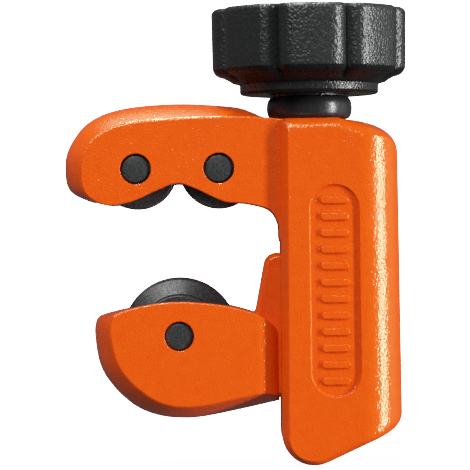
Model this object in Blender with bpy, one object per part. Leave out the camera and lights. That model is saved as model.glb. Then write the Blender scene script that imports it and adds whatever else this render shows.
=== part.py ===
"""A small pipe cutter: a C-shaped cast frame with two rollers on its arm, and a cast slide
that carries the cutter wheel. A knob on top turns a feed screw, which draws the slide up.

The drawing frame has x = 0, y = 0 on the feed screw's axis and z = 0 on the frame's top
face, where the knob's collar runs. Drawing sizes are in millimetres. The empty pipe_cutter
carries the whole tool to the part's own frame: its origin is the middle of the base of the
bounding box, +X points from the jaw to the grip, +Z up the feed screw and +Y to the back.
"""

import math

import bmesh
import bpy
from mathutils import Matrix, Vector

MM = 0.001

# Driving sizes, in millimetres
ROLLER_RADIUS = 6.0
ROLLER_HALF_LENGTH = 4.7
ROLLER_PITCH = 12.4
WHEEL_RADIUS = 8.75
WHEEL_HUB_RADIUS = 6.05
WHEEL_HALF_WIDTH = 2.6
JAW_MIDDLE_X = -20.0
ROLLER_Z = -7.3
WHEEL_Z = -32.3
ARM_HALF_THICKNESS = 7.2
SPINE_HALF_THICKNESS = 8.75
SPINE_TOP_LEFT = -4.6
SPINE_TOP_RIGHT = 13.1
SPINE_FOOT_LEFT = -4.95
SPINE_FOOT_RIGHT = 13.3
SPINE_BOTTOM = -51.8
CHANNEL_HALF_WIDTH = 5.0
CHANNEL_BACK = 5.2
TOP_WALL = 5.5
GUIDE_HALF_WIDTH = 4.75
GUIDE_RIGHT = 4.7
GUIDE_TOP = -20.05
GUIDE_BOTTOM = -41.7
KNOB_RADIUS = 14.7
KNOB_LOBES = 8
KNOB_GROOVE_DEPTH = 2.3
KNOB_GROOVE_SPREAD = 0.095
KNOB_TURN = math.radians(1.0)
KNOB_BOTTOM = 3.5
KNOB_TOP = 16.7
SCREW_RADIUS = 3.0
SCREW_END = -49.6
PIN_RADIUS = 2.3
WHEEL_PIN_RADIUS = 2.2
RUNNING_GAP = 0.1
SEAT_GAP = 0.1

# The mid-plane outline of the arm reaches this far left, and the box is centred on the origin
ARM_LEFT = -37.1
BOX_MIDDLE_X = (ARM_LEFT + KNOB_RADIUS) / 2

# Each look is a name, a base colour, a roughness and a metallic value
ORANGE_PAINT = ("orange_paint", (0.85, 0.16, 0.015, 1.0), 0.4, 0.0)
BLACK_OXIDE = ("black_oxide_steel", (0.035, 0.036, 0.038, 1.0), 0.4, 0.8)
ZINC_PLATE = ("zinc_plated_steel", (0.42, 0.42, 0.43, 1.0), 0.3, 1.0)
BLACK_PLASTIC = ("black_plastic", (0.03, 0.03, 0.032, 1.0), 0.5, 0.0)


# ---------------------------------------------------------------- outlines


def spline_outline(knots, corners=(), per_span=3):
    """A closed outline through the knots: a cubic through each span, with a break in
    direction at the knots whose numbers are in corners."""
    count = len(knots)

    def tangent(i, towards_next):
        here, before, after = knots[i], knots[i - 1], knots[(i + 1) % count]
        if i in corners:
            first, second = (here, after) if towards_next else (before, here)
            return second[0] - first[0], second[1] - first[1]
        return (after[0] - before[0]) / 2, (after[1] - before[1]) / 2

    points = []
    for i in range(count):
        j = (i + 1) % count
        leave, arrive = tangent(i, True), tangent(j, False)
        straight = i in corners and j in corners
        for step in range(1 if straight else per_span):
            t = step / per_span
            a, b = 2 * t**3 - 3 * t**2 + 1, t**3 - 2 * t**2 + t
            c, d = 3 * t**2 - 2 * t**3, t**3 - t**2
            points.append(
                tuple(a * knots[i][k] + b * leave[k] + c * knots[j][k] + d * arrive[k] for k in (0, 1))
            )
    return points


def rounded_outline(corners, segments=5):
    """A closed outline from (x, z, radius) corners, each rounded by an arc of that radius."""
    points = []
    count = len(corners)
    for i, (x, z, radius) in enumerate(corners):
        here = Vector((x, z))
        back = (Vector(corners[i - 1][:2]) - here).normalized()
        on = (Vector(corners[(i + 1) % count][:2]) - here).normalized()
        if radius <= 0:
            points.append((x, z))
            continue
        half = back.angle(on) / 2
        centre = here + (back + on).normalized() * (radius / math.sin(half))
        start = here + back * (radius / math.tan(half)) - centre
        finish = here + on * (radius / math.tan(half)) - centre
        sweep = start.angle_signed(finish)
        for step in range(segments + 1):
            point = centre + Matrix.Rotation(-sweep * step / segments, 2) @ start
            points.append((point.x, point.y))
    return points


def mixed(one, other, share):
    """The outline that lies this share of the way from one outline to another."""
    return [(p[0] + (q[0] - p[0]) * share, p[1] + (q[1] - p[1]) * share) for p, q in zip(one, other)]


def circle(radius, segments, middle=(0.0, 0.0), turn=0.0):
    angles = (turn + 2 * math.pi * i / segments for i in range(segments))
    return [(middle[0] + radius * math.cos(a), middle[1] + radius * math.sin(a)) for a in angles]


# ---------------------------------------------------------------- solids


def make_object(name, build):
    """A new object whose mesh comes from build(bmesh), with its faces pointing out."""
    mesh = bpy.data.meshes.new(name)
    shape = bmesh.new()
    build(shape)
    bmesh.ops.recalc_face_normals(shape, faces=shape.faces)
    shape.to_mesh(mesh)
    shape.free()
    made = bpy.data.objects.new(name, mesh)
    bpy.context.scene.collection.objects.link(made)
    made.parent = bpy.data.objects["pipe_cutter"]
    return made


def loft(name, rings):
    """A closed solid through rings of (x, y, z) points in millimetres, capped at both ends."""

    def build(shape):
        loops = [[shape.verts.new(Vector(p) * MM) for p in ring] for ring in rings]
        for below, above in zip(loops, loops[1:]):
            for i in range(len(below)):
                j = (i + 1) % len(below)
                shape.faces.new((below[i], below[j], above[j], above[i]))
        bmesh.ops.triangulate(shape, faces=shape.faces)
        shape.faces.new(loops[0][::-1])
        shape.faces.new(loops[-1])

    return make_object(name, build)


def plate(name, outline, y_from, y_to):
    """The (x, z) outline extruded between two depths."""
    return loft(name, [[(x, y, z) for x, z in outline] for y in (y_from, y_to)])


def column(name, outline, z_from, z_to):
    """The (x, y) outline extruded between two heights."""
    return loft(name, [[(x, y, z) for x, y in outline] for z in (z_from, z_to)])


def turned(name, profile, segments, turn=0.0):
    """A closed (radius, height) profile turned about the object's own Z axis."""
    angles = [turn + 2 * math.pi * i / segments for i in range(segments)]

    def build(shape):
        rings = []
        for radius, height in profile:
            if radius == 0:
                rings.append([shape.verts.new((0, 0, height * MM))] * segments)
            else:
                spots = ((radius * math.cos(a), radius * math.sin(a), height) for a in angles)
                rings.append([shape.verts.new(Vector(p) * MM) for p in spots])
        for k in range(len(rings)):
            one, other = rings[k], rings[(k + 1) % len(rings)]
            for i in range(segments):
                j = (i + 1) % segments
                corners = list(dict.fromkeys((one[i], one[j], other[j], other[i])))
                if len(corners) > 2:
                    shape.faces.new(corners)

    return make_object(name, build)


def place(made, x, y, z, along_y=False):
    """Moves a turned piece to its place, with its own Z axis along +Y if asked."""
    made.location = Vector((x, y, z)) * MM
    if along_y:
        made.rotation_euler = (-math.pi / 2, 0, 0)
    return made


def boolean(made, operation, other, solver="EXACT"):
    other.hide_render = True
    other.display_type = "WIRE"
    modifier = made.modifiers.new(f"{operation.lower()} {other.name}", "BOOLEAN")
    modifier.operation = operation
    modifier.solver = solver
    modifier.object = other


def cut(made, cutter, solver="EXACT"):
    boolean(made, "DIFFERENCE", cutter, solver)


def finish(made, look, sharp_angle=35):
    """Gives the piece its own material in this look, and smooth shading between sharp edges."""
    kind, colour, roughness, metallic = look
    material = bpy.data.materials.new(f"{made.name}_{kind}")
    material.use_nodes = True
    shader = material.node_tree.nodes["Principled BSDF"]
    shader.inputs["Base Color"].default_value = colour
    shader.inputs["Roughness"].default_value = roughness
    shader.inputs["Metallic"].default_value = metallic
    made.data.materials.append(material)
    made.data.shade_smooth()
    made.data.set_sharp_from_angle(angle=math.radians(sharp_angle))
    return made


# ---------------------------------------------------------------- castings

# Both castings are crowned: their face outline is smaller than their mid-plane outline. The
# knots of the two match one by one, and go round from the spine over the top and back below.
ARM_MIDDLE = [
    (-2.0, -0.3), (-6.1, 0.1), (-8.8, 1.3), (-11.8, 2.15), (-20.2, 2.67), (-28.6, 1.96),
    (-33.6, -0.1), (-36.5, -3.9), (ARM_LEFT, -7.4), (-36.4, -10.3), (-33.7, -11.9), (-30.3, -12.66),
    (-26.8, -12.1), (-22.85, -10.4), (-20.0, -9.5), (-17.15, -10.4), (-13.2, -12.25), (-9.6, -12.65),
    (-6.4, -13.6), (-5.05, -15.6), (-4.65, -18.5), (-2.0, -18.5),
]  # fmt: skip
ARM_FACE = ARM_MIDDLE[:2] + [
    (-8.8, 0.3), (-11.8, 0.35), (-20.2, 0.1), (-27.6, -0.55),
    (-31.9, -2.3), (-33.9, -4.9), (-34.4, -7.9), (-33.9, -10.4), (-32.6, -11.8), (-30.3, -12.66),
] + ARM_MIDDLE[12:]  # fmt: skip
ARM_CORNERS = (0, len(ARM_MIDDLE) - 1)

JAW_RIGHT = -5.1
JAW_MIDDLE = [
    (JAW_RIGHT, -33.0), (-5.4, -31.6), (-6.3, -30.5), (-7.6, -29.6), (-9.6, -28.75),
    (-12.8, -27.9), (-16.4, -27.4), (-20.1, -27.2), (-23.3, -27.4), (-27.7, -28.1),
    (-31.3, -28.9), (-32.6, -29.8), (-32.9, -32.2), (-32.1, -36.8), (-29.9, -40.3),
    (-26.7, -43.1), (-23.2, -44.5), (-19.6, -44.9), (-16.4, -44.7), (-10.6, -43.6),
    (JAW_RIGHT, -42.4),
]  # fmt: skip
JAW_FACE = JAW_MIDDLE[:9] + [
    (-26.5, -27.95), (-28.9, -28.7), (-30.0, -29.6), (-30.3, -31.9), (-29.3, -36.1),
    (-27.3, -39.0), (-24.5, -41.3), (-22.0, -42.45), (-19.6, -42.8), (-16.2, -42.6), (-10.6, -41.5),
    (JAW_RIGHT, -40.4),
]  # fmt: skip
JAW_CORNERS = (0, len(JAW_MIDDLE) - 1)
JAW_TURN_RADIUS = 3.4  # the face turns back towards the channel over this radius
CROWN_STEPS = (-1.0, -0.8, -0.5, 0.0, 0.5, 0.8, 1.0)  # depths, as shares of the half thickness


def crowned(name, middle, face, half_thickness):
    """A casting whose outline grows from the face outline to the mid-plane outline."""
    rings = []
    for step in CROWN_STEPS:
        outline = mixed(middle, face, step**2)
        rings.append([(x, step * half_thickness, z) for x, z in outline])
    return loft(name, rings)


# The spine's sides step in near its two faces: a bevel on the left, a palm round on the right
SPINE_STEPS = (0.0, 0.45, 1.1, 2.2, 3.7, 5.6)
SPINE_ROUND = 5.6
SPINE_LEFT_BEVEL = 1.0
SPINE_EDGE_BEVEL = 0.6
SPINE_FOOT_SLOPE = 0.455
SPINE_FOOT_ROUND = 4.8
SPINE_FOOT_AT_AXIS = SPINE_BOTTOM - 0.42  # where the sloping foot's line crosses x = 0


def spine_outline(depth):
    """The spine's (x, z) outline at this depth under its face. It widens a little downwards,
    and its foot slopes up to the right."""
    turn = max(0.0, 1 - depth / SPINE_ROUND)
    rounding = SPINE_ROUND * (1 - math.sqrt(1 - turn**2))
    bevel = max(0.0, SPINE_LEFT_BEVEL - depth)
    edge = max(0.0, SPINE_EDGE_BEVEL - depth)
    top_left, foot_left = SPINE_TOP_LEFT + bevel, SPINE_FOOT_LEFT + bevel
    top_right, foot_right = SPINE_TOP_RIGHT - rounding, SPINE_FOOT_RIGHT - rounding
    foot = SPINE_FOOT_AT_AXIS + edge
    return rounded_outline(
        [
            (foot_left, foot + SPINE_FOOT_SLOPE * foot_left, SPINE_FOOT_ROUND - edge),
            (top_left, -edge, 1.0),
            (4.2, -edge, 2.0),
            (top_right, -edge - 0.2 * (top_right - 4.2), 4.0),
            (foot_right, foot + SPINE_FOOT_SLOPE * foot_right, 3.2),
        ]
    )


def spine_solid():
    rings = []
    for side in (-1, 1):
        for depth in SPINE_STEPS if side < 0 else SPINE_STEPS[::-1]:
            y = side * (SPINE_HALF_THICKNESS - depth)
            rings.append([(x, y, z) for x, z in spine_outline(depth)])
    return loft("frame_spine", rings)


def pin_hole(name, x, z, radius, half_length):
    """A cutter for a straight hole along Y."""
    profile = [(0, -half_length), (radius, -half_length), (radius, half_length), (0, half_length)]
    return place(turned(name, profile, 24), x, 0, z, along_y=True)


PLAQUE_HALF_WIDTH = 3.75
PLAQUE_TOP = -9.9
PLAQUE_BOTTOM = -41.6
PLAQUE_X = 3.27
PLAQUE_DEPTH = 0.5
GRIP_RIBS = 12
GRIP_RIB_LENGTH = 4.2
GRIP_RIB_WIDTH = 1.1
GRIP_RIB_HEIGHT = 0.4
GRIP_RIB_MARGIN = 2.4


def roller_x(side):
    return JAW_MIDDLE_X + side * ROLLER_PITCH / 2


def grip_ribs(side, floor):
    """A ladder of low raised ribs that fills the recess in one of the spine's faces."""
    first = PLAQUE_BOTTOM + GRIP_RIB_MARGIN
    pitch = (PLAQUE_TOP - GRIP_RIB_MARGIN - first) / (GRIP_RIBS - 1)
    root, crest = floor - side * 0.2, floor + side * GRIP_RIB_HEIGHT

    def build(shape):
        for i in range(GRIP_RIBS):
            bmesh.ops.create_cube(
                shape,
                size=MM,
                matrix=Matrix.Translation(Vector((PLAQUE_X, (root + crest) / 2, first + i * pitch)) * MM)
                @ Matrix.Diagonal((GRIP_RIB_LENGTH, abs(crest - root), GRIP_RIB_WIDTH, 1)),
            )

    return make_object(f"frame_ribs_{'front' if side < 0 else 'back'}", build)


def frame_casting():
    """The C-shaped frame: arm and spine in one casting, hollow along the rollers and guide."""
    middle = spline_outline(ARM_MIDDLE, ARM_CORNERS)
    face = spline_outline(ARM_FACE, ARM_CORNERS)
    frame = crowned("frame", middle, face, ARM_HALF_THICKNESS)
    boolean(frame, "UNION", spine_solid())

    width = CHANNEL_HALF_WIDTH
    pocket_gap = 0.5
    ceiling = ROLLER_Z + ROLLER_RADIUS + pocket_gap
    pocket_left = roller_x(-1) - ROLLER_RADIUS - pocket_gap
    pocket = rounded_outline(
        [
            (pocket_left, -20, 0),
            (pocket_left, ceiling, ROLLER_RADIUS),
            (-7.0, ceiling, 4.0),
            (-7.0, -TOP_WALL, 0),
            (CHANNEL_BACK, -TOP_WALL, 1.0),
            (CHANNEL_BACK, SPINE_BOTTOM - 1, 0),
            (-9.0, SPINE_BOTTOM - 1, 0),
            (-9.0, -20, 0),
        ]
    )
    cut(frame, plate("frame_channel", pocket, -width, width))
    screw_hole = circle(SCREW_RADIUS + 0.2, 24)
    cut(frame, column("frame_screw_hole", screw_hole, -TOP_WALL - 1, 1))
    for side, label in ((-1, "left"), (1, "right")):
        hole = pin_hole(
            f"frame_pin_hole_{label}",
            roller_x(side),
            ROLLER_Z,
            PIN_RADIUS + SEAT_GAP,
            ARM_HALF_THICKNESS + 1,
        )
        cut(frame, hole)
    for side, label in ((-1, "front"), (1, "back")):
        ends = [
            (PLAQUE_X - PLAQUE_HALF_WIDTH, PLAQUE_BOTTOM, PLAQUE_HALF_WIDTH - 0.1),
            (PLAQUE_X - PLAQUE_HALF_WIDTH, PLAQUE_TOP, PLAQUE_HALF_WIDTH - 0.1),
            (PLAQUE_X + PLAQUE_HALF_WIDTH, PLAQUE_TOP, PLAQUE_HALF_WIDTH - 0.1),
            (PLAQUE_X + PLAQUE_HALF_WIDTH, PLAQUE_BOTTOM, PLAQUE_HALF_WIDTH - 0.1),
        ]
        floor = side * (SPINE_HALF_THICKNESS - PLAQUE_DEPTH)
        above = side * (SPINE_HALF_THICKNESS + 1)
        pocket = plate(f"frame_plaque_{label}", rounded_outline(ends), min(floor, above), max(floor, above))
        cut(frame, pocket, "MANIFOLD")
        boolean(frame, "UNION", grip_ribs(side, floor), "MANIFOLD")
    return finish(frame, ORANGE_PAINT)


WHEEL_SLOT_HALF_WIDTH = 2.9
WHEEL_SLOT_LEFT = -29.6
WHEEL_SLOT_RIGHT = -9.6
WHEEL_SLOT_BOTTOM = -41.7
PIN_HEAD_RADIUS = 3.1
PIN_HEAD_HEIGHT = 1.1


def jaw_turn_cutter(side):
    """What lies outside the round that turns the jaw's face back towards the channel."""
    radius = JAW_TURN_RADIUS
    half = ARM_HALF_THICKNESS
    arc = [
        (JAW_RIGHT - radius + radius * math.sin(a), half - radius + radius * math.cos(a))
        for a in (math.pi / 2 * i / 5 for i in range(6))
    ]
    corner = [(JAW_RIGHT + 0.5, half - radius), (JAW_RIGHT + 0.5, half + 0.5), (JAW_RIGHT - radius, half + 0.5)]
    outline = [(x, side * y) for x, y in arc + corner]
    return column(f"slide_turn_{'front' if side < 0 else 'back'}", outline, -46, -26)


def slide_casting():
    """The slide: a jaw slotted for the wheel, and a guide block that rides in the channel."""
    middle = spline_outline(JAW_MIDDLE, JAW_CORNERS)
    face = spline_outline(JAW_FACE, JAW_CORNERS)
    slide = crowned("slide", middle, face, ARM_HALF_THICKNESS)
    for side in (-1, 1):
        cut(slide, jaw_turn_cutter(side))
    guide = rounded_outline(
        [
            (-11.0, GUIDE_BOTTOM + 3, 0),
            (-11.0, -30.0, 0),
            (-8.6, -28.9, 0.9),
            (-6.9, GUIDE_TOP, 2.0),
            (GUIDE_RIGHT, GUIDE_TOP, 0.6),
            (GUIDE_RIGHT, GUIDE_BOTTOM, 0.6),
            (-6.0, GUIDE_BOTTOM, 0),
        ],
        segments=4,
    )
    bevel = 0.6
    levels = (
        (-GUIDE_HALF_WIDTH, bevel),
        (-GUIDE_HALF_WIDTH + bevel, 0),
        (GUIDE_HALF_WIDTH - bevel, 0),
        (GUIDE_HALF_WIDTH, bevel),
    )
    middle_x, middle_z = -1.0, (GUIDE_TOP + GUIDE_BOTTOM) / 2
    shrink_x = (GUIDE_RIGHT - middle_x) - bevel
    rings = []
    for y, inset in levels:
        share_x = 1 - inset / (shrink_x + bevel)
        share_z = 1 - inset / (GUIDE_TOP - middle_z)
        rings.append(
            [(middle_x + (x - middle_x) * share_x, y, middle_z + (z - middle_z) * share_z) for x, z in guide]
        )
    boolean(slide, "UNION", loft("slide_guide", rings))

    slot = rounded_outline(
        [
            (WHEEL_SLOT_LEFT, -25, 0),
            (WHEEL_SLOT_RIGHT, -25, 0),
            (WHEEL_SLOT_RIGHT, WHEEL_SLOT_BOTTOM, WHEEL_RADIUS - 0.5),
            (WHEEL_SLOT_LEFT, WHEEL_SLOT_BOTTOM, WHEEL_RADIUS - 0.5),
        ]
    )
    cut(slide, plate("slide_wheel_slot", slot, -WHEEL_SLOT_HALF_WIDTH, WHEEL_SLOT_HALF_WIDTH))
    bore = circle(SCREW_RADIUS + RUNNING_GAP, 24)
    cut(slide, column("slide_screw_bore", bore, GUIDE_BOTTOM - 3, GUIDE_TOP + 1))
    seat_depth = ARM_HALF_THICKNESS - PIN_HEAD_HEIGHT - 0.2
    hole = turned(
        "slide_pin_hole",
        [
            (0, -ARM_HALF_THICKNESS - 1),
            (WHEEL_PIN_RADIUS + SEAT_GAP, -ARM_HALF_THICKNESS - 1),
            (WHEEL_PIN_RADIUS + SEAT_GAP, seat_depth),
            (PIN_HEAD_RADIUS + 0.2, seat_depth),
            (PIN_HEAD_RADIUS + 0.2, ARM_HALF_THICKNESS + 1),
            (0, ARM_HALF_THICKNESS + 1),
        ],
        24,
    )
    cut(slide, place(hole, JAW_MIDDLE_X, 0, WHEEL_Z, along_y=True))
    return finish(slide, ORANGE_PAINT)


# ---------------------------------------------------------------- turned pieces


def roller(label, side):
    """A hardened roller with chamfered ends and a middle groove for cutting close to a flare."""
    half, bore, chamfer = ROLLER_HALF_LENGTH, PIN_RADIUS + RUNNING_GAP, 0.35
    groove_half, groove_depth = 0.9, 1.1
    profile = [
        (bore, -half),
        (ROLLER_RADIUS - chamfer, -half),
        (ROLLER_RADIUS, -half + chamfer),
        (ROLLER_RADIUS, -groove_half),
        (ROLLER_RADIUS - groove_depth, -0.15),
        (ROLLER_RADIUS - groove_depth, 0.15),
        (ROLLER_RADIUS, groove_half),
        (ROLLER_RADIUS, half - chamfer),
        (ROLLER_RADIUS - chamfer, half),
        (bore, half),
    ]
    made = turned(f"roller_{label}", profile, 36)
    return finish(place(made, roller_x(side), 0, ROLLER_Z, along_y=True), BLACK_OXIDE)


def roller_pin(label, side):
    half, chamfer = ARM_HALF_THICKNESS - 0.25, 0.35
    profile = [
        (0, -half),
        (PIN_RADIUS - chamfer, -half),
        (PIN_RADIUS, -half + chamfer),
        (PIN_RADIUS, half - chamfer),
        (PIN_RADIUS - chamfer, half),
        (0, half),
    ]
    made = turned(f"roller_pin_{label}", profile, 24)
    return finish(place(made, roller_x(side), 0, ROLLER_Z, along_y=True), BLACK_OXIDE)


def cutter_wheel():
    """The wheel: a hub, a thin disc that tapers outwards and a sharpened edge."""
    half, bore = WHEEL_HALF_WIDTH, WHEEL_PIN_RADIUS + RUNNING_GAP
    edge_start, edge_half = WHEEL_RADIUS - 0.45, 0.32
    side = [
        (bore, half),
        (WHEEL_HUB_RADIUS - 0.2, half),
        (WHEEL_HUB_RADIUS, half - 0.2),
        (WHEEL_HUB_RADIUS, 0.95),
        (edge_start, edge_half),
        (WHEEL_RADIUS, 0.03),
    ]
    profile = side + [(radius, -height) for radius, height in reversed(side)]
    made = turned("cutter_wheel", profile, 48)
    return finish(place(made, JAW_MIDDLE_X, 0, WHEEL_Z, along_y=True), BLACK_OXIDE)


def wheel_pin():
    """The shouldered pin that the wheel runs on, with a slotted head at the back."""
    tip = -ARM_HALF_THICKNESS + 0.35
    head_seat = ARM_HALF_THICKNESS - PIN_HEAD_HEIGHT - 0.1
    head_top = head_seat + PIN_HEAD_HEIGHT
    profile = [
        (0, tip),
        (WHEEL_PIN_RADIUS - 0.4, tip),
        (WHEEL_PIN_RADIUS, tip + 0.4),
        (WHEEL_PIN_RADIUS, head_seat),
        (PIN_HEAD_RADIUS, head_seat),
        (PIN_HEAD_RADIUS, head_top - 0.3),
        (PIN_HEAD_RADIUS - 0.3, head_top),
        (0, head_top),
    ]
    made = place(turned("wheel_pin", profile, 24), JAW_MIDDLE_X, 0, WHEEL_Z, along_y=True)
    slot = [(-4, -0.45), (4, -0.45), (4, 0.45), (-4, 0.45)]
    driver = [(JAW_MIDDLE_X + x, WHEEL_Z + z) for x, z in slot]
    cut(made, plate("wheel_pin_slot", driver, head_top - 0.6, head_top + 1))
    return finish(made, BLACK_OXIDE)


# ---------------------------------------------------------------- knob and screw


def knob_radius(angle):
    """The lobed outline: flattened lobes, with a rounded groove between each two."""
    pitch = 2 * math.pi / KNOB_LOBES
    off = (angle + pitch / 2) % pitch - pitch / 2
    lobe = KNOB_RADIUS * (1 + 0.6 * (1 / math.cos(off) - 1))
    groove = math.exp(-(((abs(off) - pitch / 2) / KNOB_GROOVE_SPREAD) ** 2))
    return lobe - KNOB_GROOVE_DEPTH * groove


def knob_ring(height, inset, roundness, round_radius, segments=96):
    """One ring of the knob: the lobed outline less inset, mixed with a circle."""
    ring = []
    for i in range(segments):
        angle = 2 * math.pi * i / segments
        lobed = knob_radius(angle) - inset
        radius = lobed + (round_radius - lobed) * roundness
        angle += KNOB_TURN
        ring.append((radius * math.cos(angle), radius * math.sin(angle), height))
    return ring


CAP_RADIUS = 9.0
CAP_SEAT = KNOB_TOP - 1.3
HEX_FLATS = 10.0
HEX_HEAD_BOTTOM = 9.0
HEX_HEAD_TOP = 13.4
RING_RADIUS = 10.5


def hexagon(across_flats):
    return circle(across_flats / math.sqrt(3), 6)


def knob():
    """The lobed knob with its step ring and neck, hollow for the screw's head and the cap."""
    rings = [
        knob_ring(KNOB_BOTTOM, 0, 1, 5.75),
        knob_ring(3.75, 0, 1, 5.75),
        knob_ring(3.76, 0, 1, RING_RADIUS - 0.4),
        knob_ring(4.15, 0, 1, RING_RADIUS),
        knob_ring(5.4, 0, 1, RING_RADIUS),
        knob_ring(6.4, 1.75, 0.35, KNOB_RADIUS - 1.8),
        knob_ring(6.9, 0.65, 0, 0),
        knob_ring(7.9, 0.1, 0, 0),
        knob_ring(KNOB_TOP - 1.2, 0, 0, 0),
        knob_ring(KNOB_TOP - 0.35, 0.3, 0.1, KNOB_RADIUS - 0.3),
        knob_ring(KNOB_TOP, 1.2, 0.5, KNOB_RADIUS - 1.2),
    ]
    made = loft("knob", rings)
    cut(made, column("knob_cap_seat", circle(CAP_RADIUS, 48), CAP_SEAT, KNOB_TOP + 1))
    cut(made, column("knob_hex_pocket", hexagon(HEX_FLATS + 2 * SEAT_GAP), HEX_HEAD_BOTTOM, KNOB_TOP))
    cut(made, column("knob_bore", circle(SCREW_RADIUS + SEAT_GAP, 24), 0, KNOB_TOP - 2))
    return finish(made, BLACK_PLASTIC, sharp_angle=30)


def knob_cap():
    """A shallow cap that closes the knob over the screw's head."""
    radius, low = CAP_RADIUS - 0.15, CAP_SEAT + SEAT_GAP
    profile = [
        (0, low),
        (radius, low),
        (radius, KNOB_TOP - 0.35),
        (radius - 0.3, KNOB_TOP - 0.05),
        (0, KNOB_TOP),
    ]
    return finish(turned("knob_cap", profile, 48), BLACK_PLASTIC)


def feed_screw():
    """The feed screw: hexagonal head in the knob, plain neck, and thread to the end."""
    shank = [
        (0, SCREW_END),
        (SCREW_RADIUS - 0.5, SCREW_END),
        (SCREW_RADIUS, SCREW_END + 0.5),
        (SCREW_RADIUS, -48.6),
        (SCREW_RADIUS - 0.5, -48.6),
        (SCREW_RADIUS - 0.5, -47.7),
        (SCREW_RADIUS, -47.7),
        (SCREW_RADIUS, -7.45),
        (SCREW_RADIUS - 0.5, -7.45),
        (SCREW_RADIUS - 0.5, -6.55),
        (SCREW_RADIUS, -6.55),
        (SCREW_RADIUS, HEX_HEAD_BOTTOM + 0.5),
        (0, HEX_HEAD_BOTTOM + 0.5),
    ]
    made = turned("feed_screw", shank, 24)
    head = column("feed_screw_head", hexagon(HEX_FLATS), HEX_HEAD_BOTTOM + SEAT_GAP, HEX_HEAD_TOP)
    boolean(made, "UNION", head)
    return finish(made, ZINC_PLATE)


def thrust_collar():
    """The smooth round collar between the knob and the frame's top face."""
    bore, bulge, middle, half = SCREW_RADIUS + SEAT_GAP, 6.47, 1.7, 1.6
    arc = [
        (5.75 + (bulge - 5.75) * math.cos(a), middle + half * math.sin(a))
        for a in (math.pi / 2 * (i / 4 - 1) for i in range(9))
    ]
    profile = [(bore, middle - half)] + arc + [(bore, middle + half)]
    return finish(turned("thrust_collar", profile, 36), BLACK_PLASTIC)


def thrust_washer():
    """The washer that the screw's retaining clip pulls up against the frame's top wall."""
    inner, outer, low, high = SCREW_RADIUS + RUNNING_GAP, 4.6, -6.4, -TOP_WALL - SEAT_GAP
    profile = [(inner, low), (outer, low), (outer, high), (inner, high)]
    return finish(turned("thrust_washer", profile, 32), ZINC_PLATE)


def retaining_clip(name, low, high):
    """An open spring clip that snaps into a groove of the screw."""
    inner, outer = SCREW_RADIUS - 0.5 + RUNNING_GAP, 4.5
    gap = math.radians(35)
    steps = 20
    sweep = [math.pi / 2 + gap + (2 * math.pi - 2 * gap) * i / steps for i in range(steps + 1)]
    outline = [(outer * math.cos(a), outer * math.sin(a)) for a in sweep]
    outline += [(inner * math.cos(a), inner * math.sin(a)) for a in reversed(sweep)]
    return finish(column(name, outline, low, high), ZINC_PLATE)


# ---------------------------------------------------------------- the tool


def main():
    for old in list(bpy.data.objects):
        bpy.data.objects.remove(old, do_unlink=True)
    tool = bpy.data.objects.new("pipe_cutter", None)
    bpy.context.scene.collection.objects.link(tool)
    tool.location = Vector((-BOX_MIDDLE_X, 0, -SPINE_BOTTOM)) * MM

    frame_casting()
    slide_casting()
    for side, label in ((-1, "left"), (1, "right")):
        roller(label, side)
        roller_pin(label, side)
    cutter_wheel()
    wheel_pin()
    knob()
    knob_cap()
    thrust_collar()
    feed_screw()
    thrust_washer()
    retaining_clip("screw_retaining_clip", -7.35, -6.65)
    retaining_clip("slide_stop_clip", -48.5, -47.8)


main()
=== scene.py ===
"""The looks of the small pipe cutter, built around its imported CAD.

Sizes are in millimetres in the drawing frame, whose z axis is the feed screw's axis and whose
z = 0 is the frame's top face. to_row carries them to the row frame, in metres. The castings,
the knob and the turned pieces are built again here with cast and broken edges, a real thread
and fine curves, inside the CAD's own sizes.
"""

import math

import bmesh
import bpy
from mathutils import Matrix, Vector


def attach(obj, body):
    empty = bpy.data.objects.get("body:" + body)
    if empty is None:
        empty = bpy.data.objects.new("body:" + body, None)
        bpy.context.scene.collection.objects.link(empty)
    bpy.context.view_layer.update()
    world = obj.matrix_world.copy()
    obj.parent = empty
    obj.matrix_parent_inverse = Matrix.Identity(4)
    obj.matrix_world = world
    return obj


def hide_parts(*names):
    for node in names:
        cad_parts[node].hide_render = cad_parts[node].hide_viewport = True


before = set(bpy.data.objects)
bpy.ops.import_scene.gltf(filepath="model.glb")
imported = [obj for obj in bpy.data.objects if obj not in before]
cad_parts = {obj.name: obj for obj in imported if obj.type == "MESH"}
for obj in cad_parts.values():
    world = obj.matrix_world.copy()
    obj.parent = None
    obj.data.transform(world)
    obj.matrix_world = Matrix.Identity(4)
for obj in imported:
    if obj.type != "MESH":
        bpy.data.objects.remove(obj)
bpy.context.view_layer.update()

MM = 0.001
ORIGIN = Vector((11.2, 0, 51.8))

ROLLER_RADIUS = 6.0
ROLLER_HALF_LENGTH = 4.7
ROLLER_PITCH = 12.4
WHEEL_RADIUS = 8.75
WHEEL_HUB_RADIUS = 6.05
WHEEL_HALF_WIDTH = 2.6
JAW_MIDDLE_X = -20.0
ROLLER_Z = -7.3
WHEEL_Z = -32.3
ARM_HALF_THICKNESS = 7.2
SPINE_HALF_THICKNESS = 8.75
SPINE_TOP_LEFT = -4.6
SPINE_TOP_RIGHT = 13.1
SPINE_FOOT_LEFT = -4.95
SPINE_FOOT_RIGHT = 13.3
SPINE_BOTTOM = -51.8
CHANNEL_HALF_WIDTH = 5.0
CHANNEL_BACK = 5.2
TOP_WALL = 5.5
GUIDE_HALF_WIDTH = 4.75
GUIDE_RIGHT = 4.7
GUIDE_TOP = -20.05
GUIDE_BOTTOM = -41.7
KNOB_RADIUS = 14.7
KNOB_LOBES = 8
KNOB_GROOVE_DEPTH = 2.3
KNOB_TURN = math.radians(1.0)
KNOB_BOTTOM = 3.5
KNOB_TOP = 16.7
RING_RADIUS = 10.5
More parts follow.
